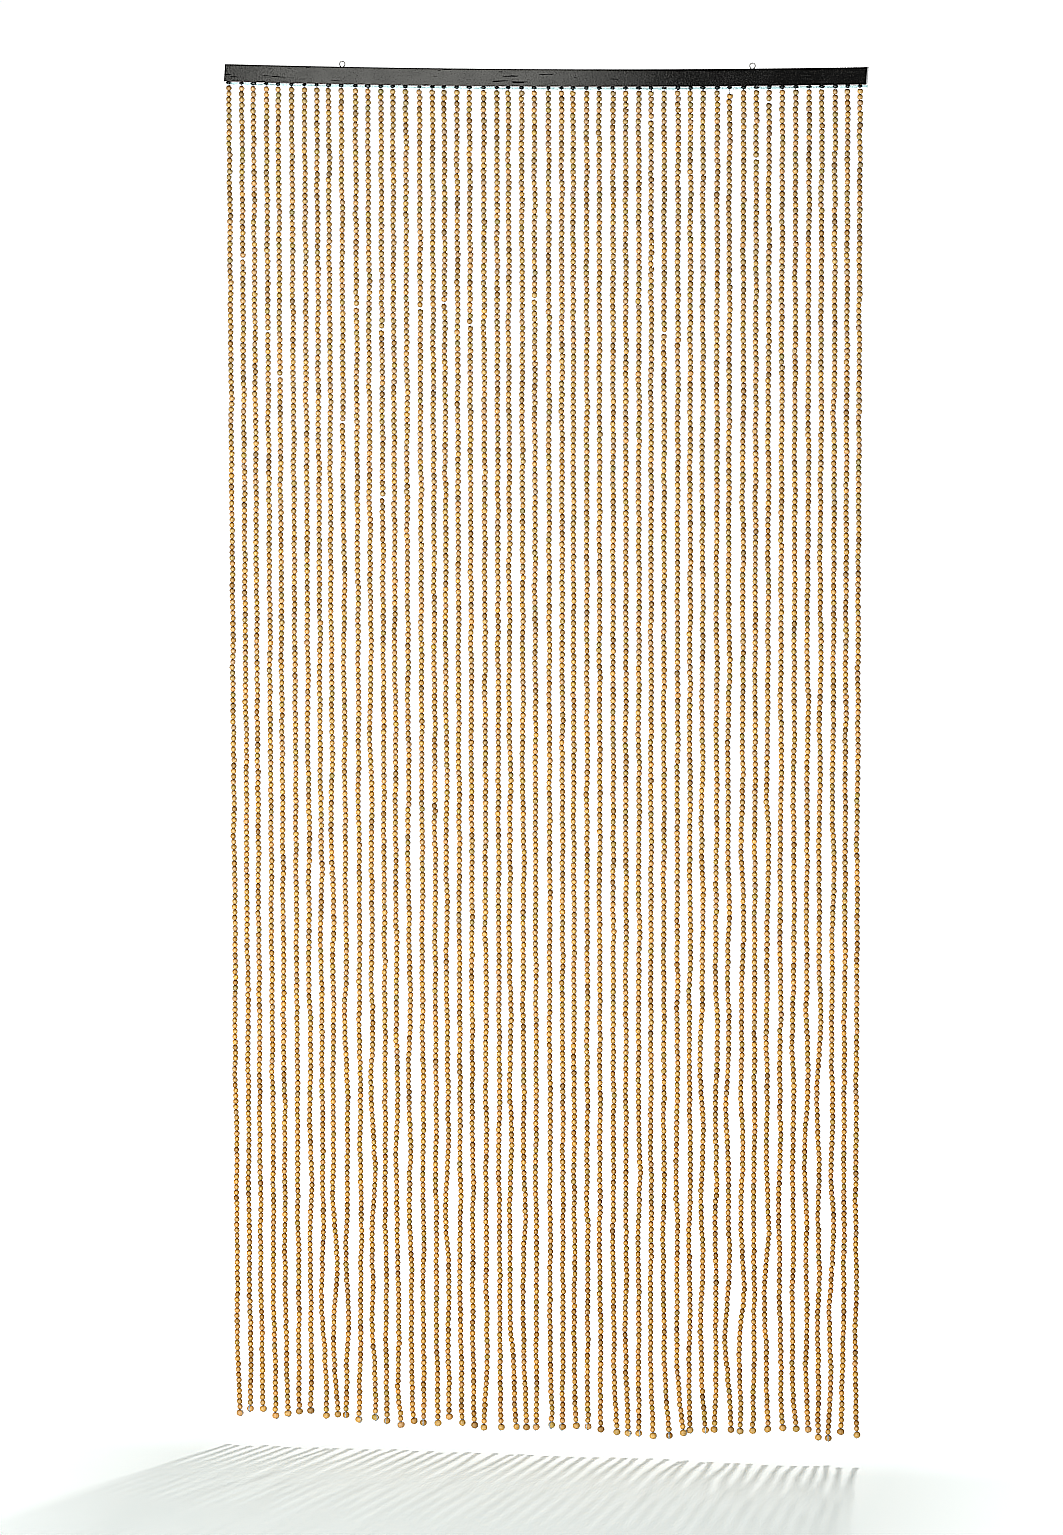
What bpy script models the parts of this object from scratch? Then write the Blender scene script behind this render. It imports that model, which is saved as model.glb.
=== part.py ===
"""Bead curtain, with the painted wooden rail that it hangs from.

A sawn lath, bowed a little down in its middle, carries two wire screw eyes on its top edge.
A narrow heading cord runs along under the lath. Fifty bead strings are knotted to it, and each
ends in a larger bead. The strings hang straight above and wander more and more towards the hem.

Frame: X runs along the rail, Z is up, and the front faces -Y. The origin is the middle of the
line between the rail's two upper corners, half way through its depth.
"""

import math
import random
from collections import namedtuple

import bmesh
import bpy
from mathutils import Vector

MM = 0.001

# Rail: a painted lath
RAIL_LENGTH = 900 * MM
RAIL_HEIGHT = 24 * MM
RAIL_DEPTH = 16 * MM
RAIL_BOW = 5 * MM            # the middle of the lath below its ends
RAIL_END_LEAN = 1.7 * MM     # both ends are sawn out of square, their foot to the left
RAIL_EDGE = 0.8 * MM         # sanded edges
RAIL_STEPS = 20              # straight stretches along the bow

# Screw eyes: one bent wire each
EYE_PLACES = {"eye_left": -285 * MM, "eye_right": 290 * MM}
EYE_OUTER = 8.8 * MM
EYE_WIRE = 1.2 * MM
EYE_SINK = 0.9 * MM          # the ring beds this far into its countersunk hole
EYE_SHANK = 13 * MM          # the shank's length below the rail's top edge
EYE_TIP = 2 * MM             # the shank's tapered tip
EYE_START = -68              # degrees from +X where the shank turns into the ring
EYE_END = 240                # degrees where the ring's cut end stops beside the shank
EYE_STEPS = 26
COUNTERSINK = 3.4 * MM       # mouth radius
COUNTERSINK_DEPTH = 1.7 * MM

# Heading cord, under the rail
HEADING_HEIGHT = 4.2 * MM
HEADING_DEPTH = 4.0 * MM
HEADING_LENGTH = 899 * MM
HEADING_EDGE = 1.0 * MM

# Strings: a four-sided strand for each run of beads
STRINGS = 50
STRINGS_SPAN = 887.6 * MM    # from the first string to the last
STRINGS_MIDDLE = -4.8 * MM
STRINGS_WIDEN = 1.8 * MM     # both end strings sit this much further right than an even spacing
BEAD_RADIUS = 3.9 * MM
BEAD_DROP = 1882 * MM        # from the heading's middle to the end bead's middle
END_BEAD_RADIUS = 5.0 * MM
END_BEAD_LENGTH = 8.4 * MM
END_BEAD_WAIST = 3.7 * MM    # the stretch of the end bead at full width
KNOT_RADIUS = 3.3 * MM
KNOT_TOP_RADIUS = 1.3 * MM
KNOT_HEIGHT = 3.8 * MM
NECK_RADIUS = 0.9 * MM       # the bare line above the first bead and above the end bead
NECK_LENGTH = 0.9 * MM
BEAD_SHOULDER = 1.6 * MM     # a bead's round shoulder, from the neck to full width
UPPER_STEPS = 2              # the straight upper stretch needs few sections
LOWER_STEPS = 13
LOWER_SHARE = 0.54           # share of the drop that is the wandering lower stretch
SWAY_WAVES = (410 * MM, 260 * MM, 175 * MM)
SWAY_START = 20 * MM         # each string leaves its knot straight down
LEAN_STRETCH = 150 * MM      # a foot's lean comes in over this last stretch

SEAT = 0.3 * MM              # clearance between pieces that touch

# How single strings differ, in millimetres: the foot's lean to the right, its extra drop, the
# mean sway at the hem, how far forward the foot hangs, and how far the knot sits to the right of
# its even place. The other strings stay near zero.
Hang = namedtuple("Hang", "lean drop sway forward aside")
HANGS = {
    1: Hang(3, 3, 0.8, 0, 0.9),
    2: Hang(0, -4, 0.8, 0, 0.9),
    3: Hang(2, -5, 0.5, 1, -0.4),
    4: Hang(2, 4, 0.5, 0, 0.1),
    5: Hang(3, 0, 0.5, 0, -1.1),
    6: Hang(0, -4, 0.4, 0, -0.1),
    7: Hang(-2, -6, 1.4, 0, 0.2),
    8: Hang(4, 0, 1.3, 0, -0.4),
    9: Hang(4, -3, 2.1, 2, -1.8),
    10: Hang(-3, -2, 1.6, -2, -1.6),
    11: Hang(-4, 3, 1.0, 1, 0.3),
    12: Hang(2, -1, 2.1, 0, 0),
    13: Hang(1, 3, 0.5, 1, 0.2),
    14: Hang(4, 8, 1.2, 0, -1.1),
    15: Hang(4, 2, 1.8, -2, -0.9),
    16: Hang(-1, 3, 0.7, 2, 0.5),
    17: Hang(2, 3, 0.5, 0, 0.7),
    18: Hang(1, -7, 1.7, 0, -0.9),
    19: Hang(2, 1, 0.5, 0, -0.9),
    20: Hang(1, 4, 0.5, -1, -1.2),
    21: Hang(-4, 6, 0.8, 2, 0.5),
    22: Hang(2, 5, 0.5, 0, 1.0),
    23: Hang(8, 3, 1.6, 2, -0.9),
    24: Hang(3, 4, 1.4, -1, -0.3),
    25: Hang(0, 3, 0.5, 0, -0.7),
    26: Hang(2, -1, 0.5, 0, 1.1),
    27: Hang(-1, 1, 0.5, 1, 1.3),
    28: Hang(2, -1, 0.5, 0, -0.7),
    30: Hang(1, 3, 0.5, 0, -0.3),
    31: Hang(5, 6, 0.5, 0, 0.7),
    32: Hang(3, 7, 0.5, 0, 0.4),
    33: Hang(0, 7, 1.0, 0, 0.6),
    34: Hang(3, 10, 0.6, 0, -0.4),
    35: Hang(8, 9, 0.5, -1, -0.4),
    36: Hang(10, 3, 0.7, 6, 0.8),
    37: Hang(0, 1, 0.9, -3, -0.1),
    38: Hang(6, -1, 2.0, 3, -0.7),
    39: Hang(-3, -1, 1.4, -2, 0.9),
    40: Hang(5, -2, 2.1, 1, -0.3),
    41: Hang(-1, 0, 2.1, 0, 1.2),
    42: Hang(-1, -1, 0.5, 0, 0.5),
    43: Hang(2, -4, 1.8, 1, 0.1),
    44: Hang(5, -6, 1.2, 0, 0.2),
    45: Hang(5, -5, 1.2, -1, 0.5),
    46: Hang(4, -4, 2.0, -2, 0.9),
    47: Hang(1, 6, 2.1, 2, 0.3),
    48: Hang(-4, 8, 2.0, -2, 0.5),
    49: Hang(-3, -2, 0.5, 0, -0.5),
    50: Hang(3, 2, 0.7, 0, -1.7),
}
CALM_SWAY = 0.5


def clear_scene():
    for thing in list(bpy.data.objects):
        bpy.data.objects.remove(thing, do_unlink=True)


def make_collection(name):
    collection = bpy.data.collections.new(name)
    bpy.context.scene.collection.children.link(collection)
    return collection


def make_material(name, color, roughness, metallic=0.0):
    material = bpy.data.materials.new(name)
    material.use_nodes = True
    shader = material.node_tree.nodes["Principled BSDF"]
    shader.inputs["Base Color"].default_value = (*color, 1.0)
    shader.inputs["Roughness"].default_value = roughness
    shader.inputs["Metallic"].default_value = metallic
    return material


def bow(x):
    """Height of the rail's top edge at x: a shallow arc, lowest in the middle."""
    return -RAIL_BOW * (1 - (2 * x / RAIL_LENGTH) ** 2)


def mesh_object(name, mesh, collection, material):
    thing = bpy.data.objects.new(name, mesh)
    collection.objects.link(thing)
    mesh.materials.append(material)
    return thing


def bowed_bar(name, length, height, depth, top, lean, edge, collection, material):
    """A bar that follows the rail's bow, its top edge at the given height above the bow."""
    bar = bmesh.new()
    bmesh.ops.create_cube(bar, size=1.0)
    for step in range(1, RAIL_STEPS):
        bmesh.ops.bisect_plane(
            bar,
            geom=bar.verts[:] + bar.edges[:] + bar.faces[:],
            plane_co=(step / RAIL_STEPS - 0.5, 0, 0),
            plane_no=(1, 0, 0),
        )
    for vert in bar.verts:
        x = vert.co.x * length
        drop = (0.5 - vert.co.z) * height
        vert.co = Vector((x - lean * drop / height, vert.co.y * depth, bow(x) + top - drop))
    mesh = bpy.data.meshes.new(name)
    bar.to_mesh(mesh)
    bar.free()
    thing = mesh_object(name, mesh, collection, material)
    bevel = thing.modifiers.new("edges", "BEVEL")
    bevel.width = edge
    bevel.segments = 2
    bevel.limit_method = "ANGLE"
    bevel.angle_limit = math.radians(40)
    return thing


def make_cutter(name, place, top_radius, foot_radius, top, foot, cutters):
    """A round cutter from the height top down to foot, standing at place."""
    cone = bmesh.new()
    bmesh.ops.create_cone(
        cone,
        cap_ends=True,
        segments=16,
        radius1=foot_radius,
        radius2=top_radius,
        depth=top - foot,
    )
    mesh = bpy.data.meshes.new(name)
    cone.to_mesh(mesh)
    cone.free()
    cutter = bpy.data.objects.new(name, mesh)
    cutter.location = (place, 0, (top + foot) / 2)
    cutter.hide_render = True
    cutter.display_type = "WIRE"
    cutters.objects.link(cutter)
    return cutter


def cut(thing, cutter):
    hole = thing.modifiers.new(cutter.name, "BOOLEAN")
    hole.operation = "DIFFERENCE"
    hole.solver = "EXACT"
    hole.object = cutter


def make_rail(collection, cutters):
    paint = make_material("rail_paint", (0.035, 0.036, 0.037), 0.55)
    rail = bowed_bar(
        "rail", RAIL_LENGTH, RAIL_HEIGHT, RAIL_DEPTH, 0, RAIL_END_LEAN, RAIL_EDGE, collection, paint
    )
    over = 1 * MM
    slope = (COUNTERSINK - EYE_WIRE / 2) / COUNTERSINK_DEPTH
    for name, place in EYE_PLACES.items():
        edge = bow(place)
        bore = EYE_WIRE / 2 + SEAT
        pilot = make_cutter(
            name + "_pilot", place, bore, bore, edge + over, edge - EYE_SHANK - SEAT, cutters
        )
        mouth = make_cutter(
            name + "_mouth",
            place,
            COUNTERSINK + slope * over,
            EYE_WIRE / 2,
            edge + over,
            edge - COUNTERSINK_DEPTH,
            cutters,
        )
        cut(rail, pilot)
        cut(rail, mouth)
    return rail


def tube_curve(name, radius, resolution):
    """An empty curve that gives its splines a round section and filled ends."""
    curve = bpy.data.curves.new(name, "CURVE")
    curve.dimensions = "3D"
    curve.bevel_depth = radius
    curve.bevel_resolution = resolution
    curve.use_fill_caps = True
    return curve


def add_line(curve, points, scales):
    """Adds one line of points, with the share of the curve's radius at each."""
    spline = curve.splines.new("POLY")
    spline.points.add(len(points) - 1)
    for knot, point, scale in zip(spline.points, points, scales):
        knot.co = (*point, 1.0)
        knot.radius = scale


def make_eye(name, place, collection, material):
    """A screw eye: a straight shank with a tapered tip, turned into a nearly closed ring."""
    edge = bow(place)
    ring = (EYE_OUTER - EYE_WIRE) / 2
    middle = edge + EYE_OUTER / 2 - EYE_SINK
    foot = middle - ring
    points = [
        Vector((place, 0, edge - EYE_SHANK)),
        Vector((place, 0, edge - EYE_SHANK + EYE_TIP)),
        Vector((place, 0, foot - EYE_WIRE)),
        Vector((place + 0.25 * EYE_WIRE, 0, foot - 0.35 * EYE_WIRE)),
    ]
    scales = [0.3, 1.0, 1.0, 1.0]
    for step in range(EYE_STEPS + 1):
        turn = math.radians(EYE_START + (EYE_END - EYE_START) * step / EYE_STEPS)
        points.append(
            Vector((place + ring * math.cos(turn), 0, middle + ring * math.sin(turn)))
        )
        scales.append(1.0)
    wire = tube_curve(name, EYE_WIRE / 2, 2)
    wire.materials.append(material)
    add_line(wire, points, scales)
    eye = bpy.data.objects.new(name, wire)
    collection.objects.link(eye)
    return eye


def hang_of(number):
    """How one string hangs: from the table, or nearly straight with a small seeded spread."""
    if number in HANGS:
        return HANGS[number]
    spread = random.Random(number)
    lean, drop = spread.uniform(-1, 2), spread.uniform(-2, 2)
    return Hang(lean, drop, CALM_SWAY, spread.uniform(-1, 1), 0)


def string_place(number):
    """The string's place along the heading, which is tied a little wider towards the right."""
    share = (2 * number - STRINGS - 1) / (STRINGS - 1)
    even = STRINGS_MIDDLE + share * STRINGS_SPAN / 2 + share ** 2 * STRINGS_WIDEN
    return even + hang_of(number).aside * MM


def string_drop(number):
    return BEAD_DROP + hang_of(number).drop * MM


def string_point(number, down):
    """A point on the string's line at a distance down from the heading's middle."""
    hang = hang_of(number)
    drop = string_drop(number)
    place = string_place(number)
    share = down / drop
    tail = max(0.0, 1 - (drop - down) / LEAN_STRETCH) ** 2
    begun = min(1.0, max(0.0, down / SWAY_START - 1))
    mean_of_waves = math.sqrt(len(SWAY_WAVES) / 2)
    sway = hang.sway * (0.1 + 0.9 * share ** 2) * begun * (1 - tail) / mean_of_waves
    phases = random.Random(900 + number)
    side = 0.0
    depth = 0.0
    for length in SWAY_WAVES:
        side += math.sin(2 * math.pi * (down / length + phases.random()))
        depth += math.sin(2 * math.pi * (down / length + phases.random()))
    x = place + (sway * side + hang.lean * tail) * MM
    y = (0.6 * sway * depth - hang.forward * share ** 2) * MM
    return Vector((x, y, heading_middle(place) - down))


def heading_middle(x):
    return bow(x) - RAIL_HEIGHT - SEAT - HEADING_HEIGHT / 2


def string_sections(number):
    """Distances down a string, with the strand's radius at each."""
    drop = string_drop(number)
    first = HEADING_HEIGHT / 2 + NECK_LENGTH
    last = drop - END_BEAD_LENGTH / 2 - NECK_LENGTH
    full = last - BEAD_SHOULDER
    turn = drop * (1 - LOWER_SHARE)
    sections = [
        (-KNOT_HEIGHT / 2, KNOT_TOP_RADIUS),
        (0.0, KNOT_RADIUS),
        (HEADING_HEIGHT / 2, KNOT_TOP_RADIUS),
        (first, NECK_RADIUS),
        (first + BEAD_SHOULDER, BEAD_RADIUS),
    ]
    for step in range(1, UPPER_STEPS + 1):
        sections.append((turn * step / UPPER_STEPS, BEAD_RADIUS))
    for step in range(1, LOWER_STEPS + 1):
        sections.append((turn + (full - turn) * step / LOWER_STEPS, BEAD_RADIUS))
    sections.append((last, NECK_RADIUS))
    sections.append((drop - END_BEAD_WAIST / 2, END_BEAD_RADIUS))
    sections.append((drop + END_BEAD_WAIST / 2, END_BEAD_RADIUS))
    sections.append((drop + END_BEAD_LENGTH / 2, KNOT_TOP_RADIUS))
    return sections


def curve_to_mesh(thing, name, collection):
    """The curve's surface as a mesh object with welded caps, in the curve's place."""
    graph = bpy.context.evaluated_depsgraph_get()
    mesh = bpy.data.meshes.new_from_object(thing.evaluated_get(graph))
    welded = bmesh.new()
    welded.from_mesh(mesh)
    bmesh.ops.remove_doubles(welded, verts=welded.verts[:], dist=0.01 * MM)
    welded.to_mesh(mesh)
    welded.free()
    solid = bpy.data.objects.new(name, mesh)
    solid.matrix_world = thing.matrix_world
    collection.objects.link(solid)
    bpy.data.objects.remove(thing, do_unlink=True)
    return solid


def make_strings(collection, cutters):
    """The heading cord with all strings fused into it."""
    wood = make_material("bead_wood", (0.50, 0.30, 0.12), 0.4)
    heading = bowed_bar(
        "strings",
        HEADING_LENGTH,
        HEADING_HEIGHT,
        HEADING_DEPTH,
        -RAIL_HEIGHT - SEAT,
        0,
        HEADING_EDGE,
        collection,
        wood,
    )
    bundle = tube_curve("string_bundle", BEAD_RADIUS, 0)
    for number in range(1, STRINGS + 1):
        sections = string_sections(number)
        points = [string_point(number, down) for down, radius in sections]
        add_line(bundle, points, [radius / BEAD_RADIUS for down, radius in sections])
    line = bpy.data.objects.new("string_line", bundle)
    cutters.objects.link(line)
    bpy.context.view_layer.update()
    strands = curve_to_mesh(line, "string_strands", cutters)
    strands.hide_render = True
    strands.display_type = "WIRE"
    joined = heading.modifiers.new("strings", "BOOLEAN")
    joined.operation = "UNION"
    joined.solver = "EXACT"
    joined.object = strands
    return heading


def build():
    clear_scene()
    parts = make_collection("bead_curtain")
    cutters = make_collection("cutters")
    make_rail(parts, cutters)
    steel = make_material("eye_wire", (0.42, 0.42, 0.41), 0.35, 1.0)
    for name, place in EYE_PLACES.items():
        make_eye(name, place, parts, steel)
    make_strings(parts, cutters)


build()
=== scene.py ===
"""Looks of the bead curtain: turned wooden beads on nylon line, knotted to a cord under a painted rail."""

import math
import random
from collections import namedtuple

import bpy
import numpy as np
from mathutils import Matrix, Vector


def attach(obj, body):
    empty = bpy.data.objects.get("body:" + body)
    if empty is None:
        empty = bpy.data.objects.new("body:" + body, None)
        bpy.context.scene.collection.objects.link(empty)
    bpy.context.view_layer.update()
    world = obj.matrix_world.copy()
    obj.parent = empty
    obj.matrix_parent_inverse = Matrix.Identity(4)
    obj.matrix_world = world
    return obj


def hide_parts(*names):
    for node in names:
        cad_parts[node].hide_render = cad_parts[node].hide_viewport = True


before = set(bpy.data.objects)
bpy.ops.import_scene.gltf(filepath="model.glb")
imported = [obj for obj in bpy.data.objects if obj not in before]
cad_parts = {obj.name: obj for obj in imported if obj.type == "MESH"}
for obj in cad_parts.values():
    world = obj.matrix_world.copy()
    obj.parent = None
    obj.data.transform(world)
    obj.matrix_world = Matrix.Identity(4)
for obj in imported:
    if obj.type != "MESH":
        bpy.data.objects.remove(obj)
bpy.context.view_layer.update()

MM = 0.001

# The rail's bow and the heading cord below it
RAIL_LENGTH = 900 * MM
RAIL_HEIGHT = 24 * MM
RAIL_BOW = 5 * MM
SEAT = 0.3 * MM
HEADING_HEIGHT = 4.2 * MM
HEADING_LENGTH = 899 * MM

# Strings, as the solids have them
STRINGS = 50
STRINGS_SPAN = 887.6 * MM
STRINGS_MIDDLE = -4.8 * MM
STRINGS_WIDEN = 1.8 * MM
BEAD_DROP = 1882 * MM
END_BEAD_RADIUS = 5.0 * MM
END_BEAD_LENGTH = 8.4 * MM
NECK_LENGTH = 0.9 * MM
SWAY_WAVES = (410 * MM, 260 * MM, 175 * MM)
KINK_WAVES = (118 * MM, 83 * MM, 57 * MM)
KINK = 0.208                     # millimetres, for the short bends that the solids leave out
SWAY_START = 20 * MM
LEAN_STRETCH = 150 * MM

# How single strings differ, in millimetres: the foot's lean to the right, its extra drop, the
# mean sway at the hem, how far forward the foot hangs, and how far the knot sits to the right of
# its even place. The other strings stay near zero.
Hang = namedtuple("Hang", "lean drop sway forward aside")
HANGS = {
    1: Hang(3, 3, 0.8, 0, 0.9),
    2: Hang(0, -4, 0.8, 0, 0.9),
    3: Hang(2, -5, 0.5, 1, -0.4),
    4: Hang(2, 4, 0.5, 0, 0.1),
    5: Hang(3, 0, 0.5, 0, -1.1),
    6: Hang(0, -4, 0.4, 0, -0.1),
    7: Hang(-2, -6, 1.4, 0, 0.2),
    8: Hang(4, 0, 1.3, 0, -0.4),
    9: Hang(4, -3, 2.1, 2, -1.8),
    10: Hang(-3, -2, 1.6, -2, -1.6),
    11: Hang(-4, 3, 1.0, 1, 0.3),
    12: Hang(2, -1, 2.1, 0, 0),
    13: Hang(1, 3, 0.5, 1, 0.2),
    14: Hang(4, 8, 1.2, 0, -1.1),
    15: Hang(4, 2, 1.8, -2, -0.9),
    16: Hang(-1, 3, 0.7, 2, 0.5),
    17: Hang(2, 3, 0.5, 0, 0.7),
    18: Hang(1, -7, 1.7, 0, -0.9),
    19: Hang(2, 1, 0.5, 0, -0.9),
    20: Hang(1, 4, 0.5, -1, -1.2),
    21: Hang(-4, 6, 0.8, 2, 0.5),
    22: Hang(2, 5, 0.5, 0, 1.0),
    23: Hang(8, 3, 1.6, 2, -0.9),
    24: Hang(3, 4, 1.4, -1, -0.3),
    25: Hang(0, 3, 0.5, 0, -0.7),
    26: Hang(2, -1, 0.5, 0, 1.1),
    27: Hang(-1, 1, 0.5, 1, 1.3),
    28: Hang(2, -1, 0.5, 0, -0.7),
    30: Hang(1, 3, 0.5, 0, -0.3),
    31: Hang(5, 6, 0.5, 0, 0.7),
    32: Hang(3, 7, 0.5, 0, 0.4),
    33: Hang(0, 7, 1.0, 0, 0.6),
    34: Hang(3, 10, 0.6, 0, -0.4),
    35: Hang(8, 9, 0.5, -1, -0.4),
    36: Hang(10, 3, 0.7, 6, 0.8),
    37: Hang(0, 1, 0.9, -3, -0.1),
    38: Hang(6, -1, 2.0, 3, -0.7),
    39: Hang(-3, -1, 1.4, -2, 0.9),
    40: Hang(5, -2, 2.1, 1, -0.3),
    41: Hang(-1, 0, 2.1, 0, 1.2),
    42: Hang(-1, -1, 0.5, 0, 0.5),
    43: Hang(2, -4, 1.8, 1, 0.1),
    44: Hang(5, -6, 1.2, 0, 0.2),
    45: Hang(5, -5, 1.2, -1, 0.5),
    46: Hang(4, -4, 2.0, -2, 0.9),
    47: Hang(1, 6, 2.1, 2, 0.3),
    48: Hang(-4, 8, 2.0, -2, 0.5),
    49: Hang(-3, -2, 0.5, 0, -0.5),
    50: Hang(3, 2, 0.7, 0, -1.7),
}
CALM_SWAY = 0.5

# Where a string hangs slack and its bare line shows: string, millimetres below the rail's top
SLACKS = ((2, 267), (4, 368), (5, 433), (10, 497), (11, 338), (13, 364), (13, 597), (16, 333), (18, 328),
          (20, 358), (25, 321), (34, 76), (35, 369), (42, 126), (43, 51))
SLACK_LENGTH = 2.4 * MM
LOW_STARTS = {40: 4.5 * MM}      # a string whose first bead has slipped down

# Beads: a turned ball with a bore, by its profile of radius and height above the middle
BEAD_PITCH = 7.73 * MM
BEAD_PROFILE = ((1.9, 3.82), (3.35, 2.65), (4.25, 0.0), (3.35, -2.65), (1.9, -3.82))
BEAD_SIDES = 8
BEAD_JITTER = 0.34 * MM          # how far a bead sits beside the line
BEAD_TILT = 6                    # degrees
BEAD_SIZE_SPREAD = 0.035

# End beads: a larger ball with a rim at its bore, in millimetres
END_BEAD_RIM = ((1.1, 4.3), (1.5, 4.55))
END_BEAD_BALL = (5.2, 5.0)       # its radius across and along the bore
END_BEAD_STEPS = 11
END_BEAD_SIDES = 16

# Line, knots and end loops
LINE_RADIUS = 0.35 * MM
LINE_RINGS = 46
LOOP_RADIUS = 0.55 * MM
LOOP_STEPS = 15
KNOT_SIZE = (3.7 * MM, 2.9 * MM, 2.4 * MM)
FRONT_LOOPS = (2, 10, 11, 12, 13, 16, 26, 27, 29, 32, 33, 35, 38, 48)

# Camera, fitted to the rail and the strings: a long lens above the rail, looking down
CAMERA_PLACE = (1.8273, -10.2265, 0.3566)
CAMERA_PITCH = -7.314
CAMERA_YAW = 10.24
CAMERA_ROLL = 0.103
CAMERA_LENS = 175.9
FLOOR_HEIGHT = -1.952
FLOOR_HALF = 14.0
FLOOR_GLOW_REACH = 2.0           # before and behind the curtain: the stretch that the stops below are spread over
FLOOR_GLOW = (
    (0.00, (0.80, 0.80, 0.80)),
    (0.28, (0.13, 0.15, 0.145)),
    (0.48, (0.13, 0.15, 0.145)),
    (0.58, (0.60, 0.60, 0.60)),
    (0.90, (1.00, 1.00, 1.00)),
)
FLOOR_GLOW_EDGE = (0.5, 1.6)     # beside the middle, where the glow turns even

# Surroundings: a brighter patch behind the curtain, in a sky that dims upwards
BACKDROP_WAY = (-0.178, 0.984, 0.0)
BACKDROP_EDGE = (0.75, 0.94)     # cosines of the angle to that way, at the patch's edge and core
BACKDROP_GLOW = 0.62
SKY_RISE = (0.02, 0.40)          # how steeply upwards the sky starts and ends to dim
SKY_LEVELS = (0.50, 0.18)
CRISPNESS = 0.20                 # share of the sharpening filter in the finished picture


def bow(x):
    """Height of the rail's top edge at x."""
    return -RAIL_BOW * (1 - (2 * x / RAIL_LENGTH) ** 2)


def heading_middle(x):
    return bow(x) - RAIL_HEIGHT - SEAT - HEADING_HEIGHT / 2


def hang_of(number):
    if number in HANGS:
        return HANGS[number]
    spread = random.Random(number)
    lean, drop = spread.uniform(-1, 2), spread.uniform(-2, 2)
    return Hang(lean, drop, CALM_SWAY, spread.uniform(-1, 1), 0)


def string_place(number):
    share = (2 * number - STRINGS - 1) / (STRINGS - 1)
    even = STRINGS_MIDDLE + share * STRINGS_SPAN / 2 + share ** 2 * STRINGS_WIDEN
    return even + hang_of(number).aside * MM


def string_drop(number):
    return BEAD_DROP + hang_of(number).drop * MM


def string_points(number, down):
    """Points on the string's line, one for each distance down from the heading's middle."""
    down = np.asarray(down, float)
    hang = hang_of(number)
    drop = string_drop(number)
    place = string_place(number)
    share = down / drop
    tail = np.maximum(0.0, 1 - (drop - down) / LEAN_STRETCH) ** 2
    begun = np.clip(down / SWAY_START - 1, 0.0, 1.0)
    mean_of_waves = math.sqrt(len(SWAY_WAVES) / 2)
    sway = hang.sway * (0.1 + 0.9 * share ** 2) * begun * (1 - tail) / mean_of_waves
    phases = random.Random(900 + number)
    side = np.zeros_like(down)
    depth = np.zeros_like(down)
    for length in SWAY_WAVES:
        side += np.sin(2 * math.pi * (down / length + phases.random()))
        depth += np.sin(2 * math.pi * (down / length + phases.random()))
    kinks = sum(np.sin(2 * math.pi * (down / length + phases.random())) for length in KINK_WAVES)
    x = place + (sway * side + hang.lean * tail + KINK * begun * kinks) * MM
    y = (0.6 * sway * depth - hang.forward * share ** 2) * MM
    return np.stack([x, y, heading_middle(place) - down], -1)


def make_mesh(name, points, faces, material, slot, smooth=True):
    """A mesh object of the points and faces, riding on the curtain."""
    mesh = bpy.data.meshes.new(name)
    mesh.from_pydata(points, [], faces)
    mesh.materials.append(material)
    mesh.polygons.foreach_set("use_smooth", np.full(len(mesh.polygons), smooth))
    mesh.update()
    thing = bpy.data.objects.new(name, mesh)
    bpy.context.scene.collection.objects.link(thing)
    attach(thing, "root")
    return thing


def ring_faces(rings, sides, first=0):
    """Triangles between successive rings of points, each ring running round the same way."""
    faces = []
    for ring in range(rings - 1):
        for side in range(sides):
            a = first + ring * sides + side
            b = first + ring * sides + (side + 1) % sides
            c = b + sides
            d = a + sides
            faces.append((a, d, c))
            faces.append((a, c, b))
    return faces


def cap_faces(ring, sides, up, first=0):
    """Triangles that close a ring: a fan from its first point, facing up or down the rings."""
    start = first + ring * sides
    fan = [(start, start + side, start + side + 1) for side in range(1, sides - 1)]
    if up:
        return fan
    return [(a, c, b) for a, b, c in fan]


def turned(profile, sides):
    """Points and triangles of a closed turned shape, its profile given from the top down."""
    angles = 2 * math.pi * np.arange(sides) / sides
    points = [
        (radius * math.cos(angle), radius * math.sin(angle), height)
        for radius, height in profile
        for angle in angles
    ]
    rings = len(profile)
    faces = ring_faces(rings, sides) + cap_faces(0, sides, True) + cap_faces(rings - 1, sides, False)
    return np.array(points), np.array(faces)


def rotations(axes, spins):
    """Rotation matrices that take +Z to each axis, after a spin about +Z."""
    axes = axes / np.linalg.norm(axes, axis=1, keepdims=True)
    side = np.cross(np.array([0.0, 1.0, 0.0]), axes)
    side /= np.linalg.norm(side, axis=1, keepdims=True)
    other = np.cross(axes, side)
    turn_x = np.cos(spins)[:, None] * side + np.sin(spins)[:, None] * other
    turn_y = -np.sin(spins)[:, None] * side + np.cos(spins)[:, None] * other
    return np.stack([turn_x, turn_y, axes], -1)


def placed(points, faces, scales, turns, places):
    """Many copies of one shape, joined: each is scaled, turned and moved."""
    copies = np.einsum("nij,nvj->nvi", turns, points[None] * scales[:, None]) + places[:, None]
    offsets = (np.arange(len(places)) * len(points))[:, None, None]
    return copies.reshape(-1, 3), (faces[None] + offsets).reshape(-1, 3)


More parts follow.
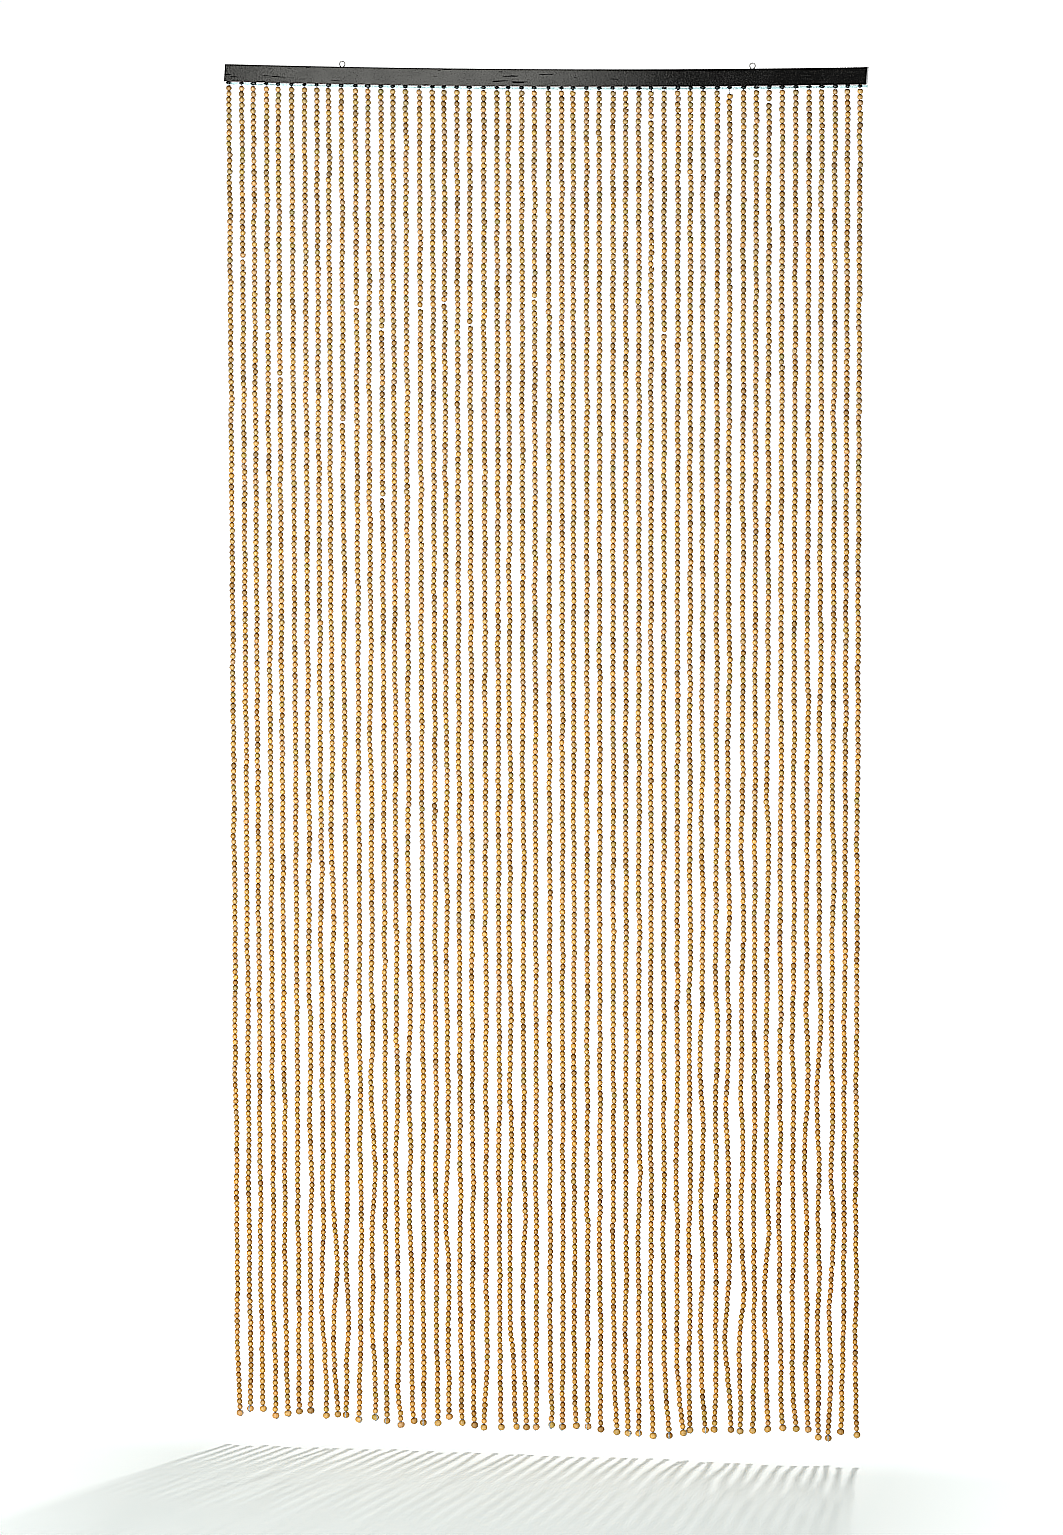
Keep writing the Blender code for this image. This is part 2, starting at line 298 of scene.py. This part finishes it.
def bead_places(number):
    """Distances down a string to the middle of each of its beads."""
    first = HEADING_HEIGHT / 2 + NECK_LENGTH + LOW_STARTS.get(number, 0.0)
    last = string_drop(number) - END_BEAD_LENGTH / 2 - NECK_LENGTH
    gaps = [down * MM for string, down in SLACKS if string == number]
    beaded = last - first - SLACK_LENGTH * len(gaps)
    count = round(beaded / BEAD_PITCH)
    pitch = beaded / count
    middles = first + pitch * (np.arange(count) + 0.5)
    for gap in gaps:
        middles[middles > gap + heading_middle(string_place(number))] += SLACK_LENGTH
    return middles, pitch


def set_tint(thing, tints):
    """Stores three numbers at each point: tone, warmth (whose low end also paints shade on the upper beads), and
    nearness to the bore's rim (painted as shade where beads meet).
    """
    layer = thing.data.attributes.new("bead_tint", "FLOAT_COLOR", "POINT")
    colors = np.ones((len(tints), 4), np.float32)
    colors[:, :3] = tints
    layer.data.foreach_set("color", colors.ravel())


def make_beads(number, material):
    """One string's beads, each a little uneven in size, tilt, place and colour."""
    spread = np.random.default_rng(2000 + number)
    points, faces = turned(BEAD_PROFILE, BEAD_SIDES)
    points = points * MM
    middles, pitch = bead_places(number)
    count = len(middles)
    places = string_points(number, middles)
    step = 2 * MM
    axes = string_points(number, middles - step) - string_points(number, middles + step)
    tilt = np.radians(BEAD_TILT) * spread.normal(0, 0.6, (count, 2)).clip(-1.4, 1.4)
    axes /= np.linalg.norm(axes, axis=1, keepdims=True)
    axes[:, :2] += tilt
    places[:, :2] += BEAD_JITTER * spread.normal(0, 0.8, (count, 2)).clip(-2, 2)
    width = 1 + BEAD_SIZE_SPREAD * spread.normal(0, 1, count).clip(-2.2, 2.2)
    height = np.full(count, pitch / BEAD_PITCH) * (1 + 0.008 * spread.normal(0, 1, count))
    scales = np.stack([width, width, height], -1)
    turns = rotations(axes, spread.uniform(0, math.pi, count))
    verts, tris = placed(points, faces, scales, turns, places)
    beads = make_mesh(f"string_{number:02d}", verts, tris, material, "beads")
    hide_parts("strings")
    tone = spread.random(count)
    share = middles / BEAD_DROP
    # warmer towards the hem; the low end is also darker, a painted shade on the upper beads
    warmth_and_top_shade = (0.25 + 0.6 * share + 0.16 * spread.normal(0, 1, count)).clip(0, 1)
    rim = np.abs(points[:, 2]) / points[:, 2].max()
    tints = np.stack(
        [
            np.repeat(tone, len(points)),
            np.repeat(warmth_and_top_shade, len(points)),
            np.tile(rim, count),
        ],
        -1,
    )
    set_tint(beads, tints)


def tube(path, radii, sides):
    """Points and triangles of a closed tube that follows a path."""
    path = np.asarray(path, float)
    along = np.gradient(path, axis=0)
    along /= np.linalg.norm(along, axis=1, keepdims=True)
    guide = np.array([0.0, 1.0, 0.0])
    if abs(along[:, 1]).max() > 0.9:
        guide = np.array([1.0, 0.0, 0.0])
    side = np.cross(guide, along)
    side /= np.linalg.norm(side, axis=1, keepdims=True)
    other = np.cross(along, side)
    angles = 2 * math.pi * np.arange(sides) / sides
    radii = np.broadcast_to(np.asarray(radii, float), len(path))
    rings = path[:, None] + radii[:, None, None] * (
        np.cos(angles)[None, :, None] * side[:, None] - np.sin(angles)[None, :, None] * other[:, None]
    )
    count = len(path)
    faces = (
        ring_faces(count, sides) + cap_faces(0, sides, True) + cap_faces(count - 1, sides, False)
    )
    return rings.reshape(-1, 3), np.array(faces)


def joined(shapes):
    """One list of points and one of faces from several shapes."""
    points, faces = [], []
    count = 0
    for shape_points, shape_faces in shapes:
        points.append(shape_points)
        faces.append(shape_faces + count)
        count += len(shape_points)
    return np.concatenate(points), np.concatenate(faces)


def make_lines(material):
    """The nylon line down the middle of each string."""
    shapes = []
    for number in range(1, STRINGS + 1):
        drop = string_drop(number)
        down = np.linspace(0, drop, LINE_RINGS)
        shapes.append(tube(string_points(number, down), LINE_RADIUS, 4))
    lines = make_mesh("lines", *joined(shapes), material, "nylon")
    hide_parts("strings")


def make_end_beads(material):
    """The larger bead at each foot."""
    across, along = END_BEAD_BALL
    profile = list(END_BEAD_RIM)
    for step in range(END_BEAD_STEPS):
        angle = math.radians(70 - 140 * step / (END_BEAD_STEPS - 1))
        profile.append((across * math.cos(angle), along * math.sin(angle)))
    profile += [(radius, -height) for radius, height in reversed(END_BEAD_RIM)]
    points, faces = turned(profile, END_BEAD_SIDES)
    points = points * MM
    numbers = range(1, STRINGS + 1)
    spread = np.random.default_rng(77)
    places = np.concatenate([string_points(n, [string_drop(n)]) for n in numbers])
    axes = np.concatenate(
        [string_points(n, [string_drop(n) - 8 * MM]) - string_points(n, [string_drop(n)]) for n in numbers]
    )
    axes += 0.1 * np.linalg.norm(axes, axis=1, keepdims=True) * spread.normal(0, 1, axes.shape)
    width = 1 + 0.03 * spread.normal(0, 1, STRINGS)
    scales = np.stack([width, width, np.full(STRINGS, 0.95)], -1)
    turns = rotations(axes, spread.uniform(0, math.pi, STRINGS))
    verts, tris = placed(points, faces, scales, turns, places)
    beads = make_mesh("end_beads", verts, tris, material, "beads")
    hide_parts("strings")
    tone = spread.random(STRINGS)
    warmth_and_top_shade = (0.8 + 0.1 * spread.normal(0, 1, STRINGS)).clip(0, 1)
    # nearness to the bore's ends, which the wood material darkens as painted shade
    rim = (np.abs(points[:, 2]) / points[:, 2].max()) ** 3
    tints = np.stack(
        [np.repeat(tone, len(points)), np.repeat(warmth_and_top_shade, len(points)), np.tile(rim, STRINGS)], -1
    )
    set_tint(beads, tints)


def make_end_loops(material):
    """The turn of line that comes out below each end bead and runs back up its side."""
    shapes = []
    spread = random.Random(31)
    for number in range(1, STRINGS + 1):
        drop = string_drop(number)
        middle = string_points(number, [drop])[0]
        heading = spread.uniform(60, 300)
        radius = LOOP_RADIUS
        if number in FRONT_LOOPS:
            heading = spread.uniform(-50, 50)
            radius *= spread.uniform(1.3, 2.0)
        away = Vector((math.sin(math.radians(heading)), -math.cos(math.radians(heading)), 0))
        path = []
        for step in range(LOOP_STEPS):
            angle = math.radians(-88 + 176 * step / (LOOP_STEPS - 1))
            out = (END_BEAD_RADIUS + 0.2 * radius) * math.cos(angle)
            up = (END_BEAD_LENGTH / 2 + 0.8 * MM) * math.sin(angle)
            path.append(Vector(middle) + away * out + Vector((0, 0, up)))
        shapes.append(tube([tuple(point) for point in path], radius, 5))
    loops = make_mesh("end_loops", *joined(shapes), material, "nylon")
    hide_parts("strings")


def make_knots(material):
    """The dark lump of knotted line at each string's head, wider above than below."""
    profile = []
    for step in range(9):
        angle = math.radians(84 - 168 * step / 8)
        flare = 1.0 + 0.18 * math.sin(angle)
        profile.append((flare * math.cos(angle), math.sin(angle)))
    points, faces = turned(profile, 12)
    shapes = []
    for number in range(1, STRINGS + 1):
        spread = np.random.default_rng(4000 + number)
        size = np.array(KNOT_SIZE) * (1 + 0.13 * spread.normal(0, 1, 3).clip(-1.6, 1.6))
        waves = spread.uniform(0, 2 * math.pi, 3)
        lumps = (
            1
            + 0.09 * np.sin(3.1 * points[:, 0] * 2 + waves[0])
            + 0.08 * np.sin(2.7 * points[:, 1] * 2 + 3 * points[:, 2] + waves[1])
            + 0.07 * np.sin(6.1 * points[:, 2] + 2 * points[:, 0] + waves[2])
        )
        x = string_place(number)
        middle = np.array([x, -0.4 * MM, heading_middle(x) + 0.2 * MM])
        shape = points * lumps[:, None] * size + middle
        shapes.append((shape, faces))
    knots = make_mesh("knots", *joined(shapes), material, None)
    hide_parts("strings")


def make_heading(material):
    """Two turns of clear cord side by side under the rail, pinched at each knot."""
    strands = []
    steps = 6
    places = [string_place(number) for number in range(1, STRINGS + 1)]
    places = [-HEADING_LENGTH / 2] + places + [HEADING_LENGTH / 2]
    for height, seed in ((0.95 * MM, 1), (-0.95 * MM, 2)):
        spread = random.Random(seed)
        path, radii = [], []
        for left, right in zip(places, places[1:]):
            sag = spread.uniform(0.0, 0.5) * MM
            forward = spread.uniform(-0.5, 0.3) * MM
            for step in range(steps):
                share = step / steps
                arch = math.sin(math.pi * share)
                x = left + (right - left) * share
                z = heading_middle(x) + height - sag * arch
                path.append((x, forward * arch, z))
                radii.append((0.78 + 0.3 * arch ** 0.5) * MM)
        path.append((places[-1], 0, heading_middle(places[-1]) + height))
        radii.append(0.8 * MM)
        strands.append(tube(path, radii, 8))
    heading = make_mesh("heading", *joined(strands), material, "nylon")
    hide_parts("strings")


def new_material(name):
    """A material with a Principled shader, its node tree and the shader."""
    material = bpy.data.materials.new(name)
    material.use_nodes = True
    tree = material.node_tree
    return material, tree, tree.nodes["Principled BSDF"]


def add_node(tree, kind, settings=(), **inputs):
    """A node with its settings, and its inputs set or linked by name."""
    node = tree.nodes.new(kind)
    for key, value in dict(settings).items():
        setattr(node, key, value)
    for key, value in inputs.items():
        socket = node.inputs[int(key[1:])] if key[0] == "i" and key[1:].isdigit() else node.inputs[key]
        if isinstance(value, bpy.types.NodeSocket):
            tree.links.new(value, socket)
        else:
            socket.default_value = value
    return node


def ramp(tree, factor, stops):
    """A colour ramp through the stops, each a position and a linear colour."""
    node = tree.nodes.new("ShaderNodeValToRGB")
    elements = node.color_ramp.elements
    while len(elements) < len(stops):
        elements.new(0.5)
    for element, (position, color) in zip(elements, stops):
        element.position = position
        element.color = (*color, 1.0)
    tree.links.new(factor, node.inputs["Fac"])
    return node.outputs["Color"]


def mix(tree, factor, first, second, blend="MIX"):
    node = tree.nodes.new("ShaderNodeMix")
    node.data_type = "RGBA"
    node.blend_type = blend
    for socket, value in ((0, factor), (6, first), (7, second)):
        if isinstance(value, bpy.types.NodeSocket):
            tree.links.new(value, node.inputs[socket])
        elif socket:
            node.inputs[socket].default_value = (*value, 1.0)
        else:
            node.inputs[socket].default_value = value
    return node.outputs[2]


def map_range(tree, value, start, end, low=0.0, high=1.0):
    """Takes a value from the range between start and end to the one between low and high."""
    node = add_node(tree, "ShaderNodeMapRange", Value=value)
    for name, bound in (("From Min", start), ("From Max", end), ("To Min", low), ("To Max", high)):
        node.inputs[name].default_value = bound
    return node.outputs[0]


def bead_material():
    """Varnished wood: each bead has its own tone, warmer towards the hem and darker towards the top, which is
    painted shade; darker at its bore, painted shade where the beads meet.
    """
    material, tree, shader = new_material("bead_wood")
    tint = add_node(tree, "ShaderNodeAttribute", {"attribute_name": "bead_tint"})
    parts = add_node(tree, "ShaderNodeSeparateColor", Color=tint.outputs["Color"])
    tone, warmth_and_top_shade, rim = parts.outputs
    tones = ramp(tree, tone, (
        (0.00, (0.36, 0.255, 0.130)),
        (0.18, (0.48, 0.355, 0.170)),
        (0.42, (0.57, 0.445, 0.220)),
        (0.62, (0.60, 0.430, 0.230)),
        (0.80, (0.54, 0.395, 0.245)),
        (1.00, (0.44, 0.385, 0.175)),
    ))
    # painted shade: the cool low end darkens the upper beads as well as cooling them
    warmed_and_top_shaded = mix(tree, warmth_and_top_shade, (0.72, 0.74, 0.83), (1.17, 0.95, 0.66))
    colored = mix(tree, 1.0, tones, warmed_and_top_shaded, "MULTIPLY")
    place = add_node(tree, "ShaderNodeTexCoord")
    stretch = add_node(tree, "ShaderNodeMapping", Vector=place.outputs["Object"], Scale=(900, 900, 260))
    grain = add_node(tree, "ShaderNodeTexNoise", Vector=stretch.outputs[0], Scale=1.0, Detail=3.0)
    grained = mix(tree, 1.0, colored, ramp(tree, grain.outputs["Fac"], (
        (0.30, (0.74, 0.70, 0.66)),
        (0.62, (1.06, 1.06, 1.06)),
    )), "MULTIPLY")
    # painted shade: each bead darkens towards both ends of its bore, where it meets its neighbours
    bore_shade = ramp(tree, rim, (
        (0.30, (1.0, 1.0, 1.0)),
        (0.80, (0.70, 0.64, 0.57)),
        (1.00, (0.42, 0.35, 0.28)),
    ))
    shaded = mix(tree, 1.0, grained, bore_shade, "MULTIPLY")
    tree.links.new(shaded, shader.inputs["Base Color"])
    gloss = map_range(tree, grain.outputs["Fac"], 0.0, 1.0, 0.34, 0.50)
    tree.links.new(gloss, shader.inputs["Roughness"])
    shader.inputs["Specular IOR Level"].default_value = 0.25
    bump = add_node(tree, "ShaderNodeBump", Height=grain.outputs["Fac"], Strength=0.25, Distance=0.0001)
    tree.links.new(bump.outputs[0], shader.inputs["Normal"])
    return material


def paint_material():
    """Thin black paint on wood: satin, with the grain showing through, mottled and scratched."""
    material, tree, shader = new_material("rail_paint")
    place = add_node(tree, "ShaderNodeTexCoord")
    grain_map = add_node(tree, "ShaderNodeMapping", Vector=place.outputs["Object"], Scale=(70, 560, 560))
    grain = add_node(tree, "ShaderNodeTexNoise", Vector=grain_map.outputs[0], Scale=1.0, Detail=5.0)
    speck = add_node(
        tree, "ShaderNodeTexNoise", Vector=place.outputs["Object"], Scale=380.0, Detail=3.0, Roughness=0.6
    )
    cloud = add_node(tree, "ShaderNodeTexNoise", Vector=place.outputs["Object"], Scale=30.0, Detail=3.0)
    scratch_map = add_node(
        tree, "ShaderNodeMapping", Vector=place.outputs["Object"], Scale=(34, 300, 300),
        Rotation=(0, math.radians(4), 0),
    )
    scratch = add_node(tree, "ShaderNodeTexNoise", Vector=scratch_map.outputs[0], Scale=1.0, Detail=1.0)
    paint = ramp(tree, speck.outputs["Fac"], (
        (0.35, (0.0008, 0.0008, 0.0008)),
        (0.58, (0.0020, 0.0019, 0.0018)),
        (0.72, (0.0070, 0.0062, 0.0050)),
    ))
    worn = mix(tree, 1.0, paint, ramp(tree, grain.outputs["Fac"], (
        (0.36, (0.45, 0.45, 0.45)),
        (0.64, (1.5, 1.45, 1.4)),
    )), "MULTIPLY")
    tree.links.new(worn, shader.inputs["Base Color"])
    uneven = ramp(tree, cloud.outputs["Fac"], ((0.36, (0.15, 0.15, 0.15)), (0.60, (0.10, 0.10, 0.10))))
    dulled = ramp(tree, scratch.outputs["Fac"], ((0.70, (0, 0, 0)), (0.72, (0.6, 0.6, 0.6))))
    pitted = ramp(tree, speck.outputs["Fac"], ((0.54, (0, 0, 0)), (0.64, (0.07, 0.07, 0.07))))
    marks = mix(tree, 1.0, dulled, pitted, "ADD")
    rough = add_node(tree, "ShaderNodeMath", {"operation": "ADD"}, i0=uneven, i1=marks)
    tree.links.new(rough.outputs[0], shader.inputs["Roughness"])
    shader.inputs["Specular IOR Level"].default_value = 0.11
    fine = add_node(tree, "ShaderNodeBump", Height=speck.outputs["Fac"], Strength=0.5, Distance=0.00013)
    bump = add_node(
        tree, "ShaderNodeBump", Height=grain.outputs["Fac"], Strength=0.5, Distance=0.0001,
        Normal=fine.outputs[0],
    )
    tree.links.new(bump.outputs[0], shader.inputs["Normal"])
    return material


def nylon_material(name, color, roughness, clear):
    """Nylon line: pale, glossy and partly clear, a little cloudy along its length."""
    material, tree, shader = new_material(name)
    place = add_node(tree, "ShaderNodeTexCoord")
    cloud = add_node(tree, "ShaderNodeTexNoise", Vector=place.outputs["Object"], Scale=420.0, Detail=2.0)
    dim = tuple(0.72 * part for part in color)
    shade = ramp(tree, cloud.outputs["Fac"], ((0.35, dim), (0.6, color)))
    tree.links.new(shade, shader.inputs["Base Color"])
    shader.inputs["Roughness"].default_value = roughness
    shader.inputs["Transmission Weight"].default_value = clear
    shader.inputs["IOR"].default_value = 1.5
    return material


def knot_material():
    """Dark knotted line, with a faint cool sheen painted into its colour."""
    material, tree, shader = new_material("knot_line")
    place = add_node(tree, "ShaderNodeTexCoord")
    wraps = add_node(tree, "ShaderNodeTexNoise", Vector=place.outputs["Object"], Scale=900.0, Detail=2.0)
    # the lighter teal stop is a painted sheen on the dark line
    shade = ramp(tree, wraps.outputs["Fac"], (
        (0.35, (0.004, 0.006, 0.007)),
        (0.65, (0.012, 0.028, 0.030)),
    ))
    tree.links.new(shade, shader.inputs["Base Color"])
    shader.inputs["Roughness"].default_value = 0.4
    bump = add_node(tree, "ShaderNodeBump", Height=wraps.outputs["Fac"], Strength=0.6, Distance=0.0003)
    tree.links.new(bump.outputs[0], shader.inputs["Normal"])
    return material


def steel_material():
    """Thin drawn wire, dulled."""
    material, tree, shader = new_material("eye_wire")
    place = add_node(tree, "ShaderNodeTexCoord")
    dull = add_node(tree, "ShaderNodeTexNoise", Vector=place.outputs["Object"], Scale=1400.0, Detail=3.0)
    shade = ramp(tree, dull.outputs["Fac"], (
        (0.35, (0.22, 0.21, 0.19)),
        (0.62, (0.46, 0.45, 0.43)),
    ))
    tree.links.new(shade, shader.inputs["Base Color"])
    shader.inputs["Metallic"].default_value = 1.0
    rough = map_range(tree, dull.outputs["Fac"], 0.0, 1.0, 0.28, 0.50)
    tree.links.new(rough, shader.inputs["Roughness"])
    return material


def make_floor():
    """A broad white floor of lit sheets: plain under the curtain, glowing further away."""
    half = FLOOR_HALF
    points = [(-half, -half, FLOOR_HEIGHT), (half, -half, FLOOR_HEIGHT), (half, half, FLOOR_HEIGHT),
              (-half, half, FLOOR_HEIGHT)]
    mesh = bpy.data.meshes.new("floor")
    mesh.from_pydata(points, [], [(0, 1, 2, 3)])
    floor = bpy.data.objects.new("floor", mesh)
    bpy.context.scene.collection.objects.link(floor)
    material, tree, shader = new_material("floor_white")
    place = add_node(tree, "ShaderNodeTexCoord")
    cloud = add_node(tree, "ShaderNodeTexNoise", Vector=place.outputs["Object"], Scale=3.0, Detail=2.0)
    shade = ramp(tree, cloud.outputs["Fac"], ((0.3, (0.82, 0.88, 0.87)), (0.7, (0.84, 0.895, 0.885))))
    tree.links.new(shade, shader.inputs["Base Color"])
    shader.inputs["Roughness"].default_value = 0.9
    shader.inputs["Specular IOR Level"].default_value = 0.1
    parts = add_node(tree, "ShaderNodeSeparateXYZ", Vector=place.outputs["Object"])
    reach = map_range(tree, parts.outputs["Y"], -FLOOR_GLOW_REACH, FLOOR_GLOW_REACH)
    glow = ramp(tree, reach, FLOOR_GLOW)
    aside = add_node(tree, "ShaderNodeMath", {"operation": "ABSOLUTE"}, i0=parts.outputs["X"])
    edge = map_range(tree, aside.outputs[0], *FLOOR_GLOW_EDGE)
    bright = mix(tree, edge, glow, (1.0, 1.0, 1.0))
    tree.links.new(bright, shader.inputs["Emission Color"])
    shader.inputs["Emission Strength"].default_value = 1.1
    mesh.materials.append(material)


def add_area(name, place, target, size, power, color=(1, 1, 1)):
    light = bpy.data.lights.new(name, "AREA")
    light.shape = "RECTANGLE"
    light.size, light.size_y = size
    light.energy = power
    light.color = color
    lamp = bpy.data.objects.new(name, light)
    lamp.location = place
    lamp.rotation_euler = (Vector(target) - Vector(place)).to_track_quat("-Z", "Y").to_euler()
    bpy.context.scene.collection.objects.link(lamp)


def make_lights():
    """A softbox low at the left, a panel for the rail's sheen, and a small lamp behind the curtain."""
    add_area("key", place=(-0.9, -3.2, -1.2), target=(0.0, 0.0, -0.9), size=(1.4, 1.2), power=98)
    add_area(
        "sheen", place=(-0.77, -3.0, -0.1), target=(-0.77, 0.0, -0.1), size=(0.68, 0.5), power=17,
        color=(1, 1, 0.94),
    )
    add_area(
        "lamp", place=(0.285, 1.93, 0.65), target=(0.0, -0.2, FLOOR_HEIGHT), size=(0.18, 0.18), power=60,
        color=(1, 0.96, 0.96),
    )
    world = bpy.data.worlds.new("studio")
    bpy.context.scene.world = world
    world.use_nodes = True
    tree = world.node_tree
    sky = tree.nodes["Background"]
    sky.inputs["Color"].default_value = (1.0, 1.0, 1.0, 1.0)
    way = add_node(tree, "ShaderNodeTexCoord")
    along = add_node(
        tree, "ShaderNodeVectorMath", {"operation": "DOT_PRODUCT"}, i0=way.outputs["Generated"],
        i1=BACKDROP_WAY,
    )
    behind = map_range(tree, along.outputs["Value"], *BACKDROP_EDGE, 0.0, BACKDROP_GLOW)
    parts = add_node(tree, "ShaderNodeSeparateXYZ", Vector=way.outputs["Generated"])
    around = map_range(tree, parts.outputs["Z"], *SKY_RISE, *SKY_LEVELS)
    level = add_node(tree, "ShaderNodeMath", {"operation": "ADD"}, i0=behind, i1=around)
    tree.links.new(level.outputs[0], sky.inputs["Strength"])


def make_camera():
    camera = bpy.data.cameras.new("camera")
    camera.lens = CAMERA_LENS
    camera.sensor_width = 36.0
    camera.clip_end = 90.0
    eye = bpy.data.objects.new("camera", camera)
    upright = Matrix.Rotation(math.radians(90 + CAMERA_PITCH), 4, "X")
    yaw = Matrix.Rotation(math.radians(CAMERA_YAW), 4, "Z")
    roll = Matrix.Rotation(math.radians(-CAMERA_ROLL), 4, "Z")
    eye.matrix_world = Matrix.Translation(CAMERA_PLACE) @ yaw @ upright @ roll
    bpy.context.scene.collection.objects.link(eye)
    bpy.context.scene.camera = eye
    bpy.context.scene.view_settings.view_transform = "Standard"


def add_finish():
    """Crisp edges, as the photograph's own sharpening gives them."""
    scene = bpy.context.scene
    scene.use_nodes = True
    tree = scene.node_tree
    tree.nodes.clear()
    picture = tree.nodes.new("CompositorNodeRLayers")
    lift = add_node(tree, "CompositorNodeGamma", Image=picture.outputs["Image"], Gamma=1 / 2.2)
    crisp = add_node(
        tree, "CompositorNodeFilter", {"filter_type": "SHARPEN"}, Image=lift.outputs["Image"],
        Fac=CRISPNESS,
    )
    lower = add_node(tree, "CompositorNodeGamma", Image=crisp.outputs["Image"], Gamma=2.2)
    add_node(tree, "CompositorNodeComposite", Image=lower.outputs["Image"])


def dress(node, material):
    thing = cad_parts[node]
    thing.data.materials.clear()
    thing.data.materials.append(material)


def main():
    make_camera()
    wood = bead_material()
    heading_nylon = nylon_material("heading_nylon", (0.62, 0.82, 0.84), 0.22, 0.25)
    line_nylon = nylon_material("line_nylon", (0.80, 0.84, 0.82), 0.15, 0.5)
    for number in range(1, STRINGS + 1):
        make_beads(number, wood)
    make_lines(line_nylon)
    make_end_beads(wood)
    make_end_loops(line_nylon)
    make_heading(heading_nylon)
    make_knots(knot_material())
    dress("rail", paint_material())
    wire = steel_material()
    dress("eye_left", wire)
    dress("eye_right", wire)
    make_floor()
    make_lights()
    add_finish()


main()
